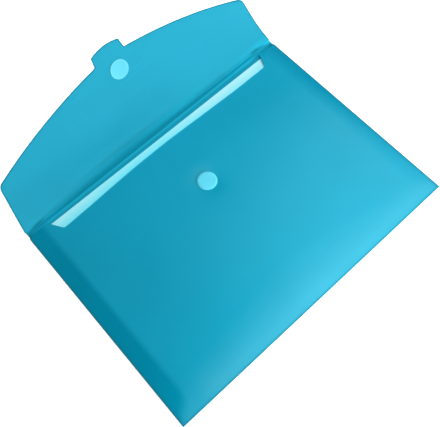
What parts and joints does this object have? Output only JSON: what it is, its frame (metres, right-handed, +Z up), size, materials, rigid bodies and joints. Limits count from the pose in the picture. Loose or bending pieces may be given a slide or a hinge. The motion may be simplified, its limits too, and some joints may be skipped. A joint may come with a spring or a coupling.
{
  "type": "document wallet",
  "caption": "Landscape A4 document wallet of frosted plastic sheet, with a creased flap, a cut-away throat, a round hook-and-loop closure and loose papers inside.",
  "frame": {"origin": "underside of the back panel, at the middle of the pocket", "axes": "+X along the flap crease, +Y from the closed bottom to the mouth, +Z up out of the back panel"},
  "size_m": [0.335, 0.2944, 0.0982],
  "materials": {
    "plastic_sheet": "frosted translucent",
    "adhesive": "clear tacky film",
    "loop_pile": "soft pile",
    "hook_tape": "stiff hooks",
    "paper": "plain white"
  },
  "bodies": {
    "pocket": {"back_panel": "plastic_sheet", "bottom_fold": "plastic_sheet", "front_panel": "plastic_sheet", "left_side_tab": "plastic_sheet", "right_side_tab": "plastic_sheet", "left_tab_weld": "plastic_sheet", "right_tab_weld": "plastic_sheet", "loop_adhesive_pad": "adhesive", "loop_disc": "loop_pile", "back_crease": "plastic_sheet"},
    "spine": {"flap_spine": "plastic_sheet", "flap_crease": "plastic_sheet"},
    "flap": {"flap_panel": "plastic_sheet", "hook_adhesive_pad": "adhesive", "hook_disc": "hook_tape"},
    "documents": {"document_sheets": "paper"}
  },
  "joints": [
    {"name": "back_crease_fold", "type": "hinge", "parent": "pocket", "child": "spine", "pos_m": [0, 0.1185, 0.00025], "axis": [1, 0, 0], "range_deg": [-12, 78]},
    {"name": "flap_crease_fold", "type": "hinge", "parent": "spine", "child": "flap", "pos_m": [0, 0.12437, 0.0015], "axis": [1, 0, 0], "range_deg": [-28, 33.6]},
    {"name": "document_slide", "type": "slide", "parent": "pocket", "child": "documents", "axis": [0, 1, 0], "range_m": [-0.018, 0]}
  ]
}
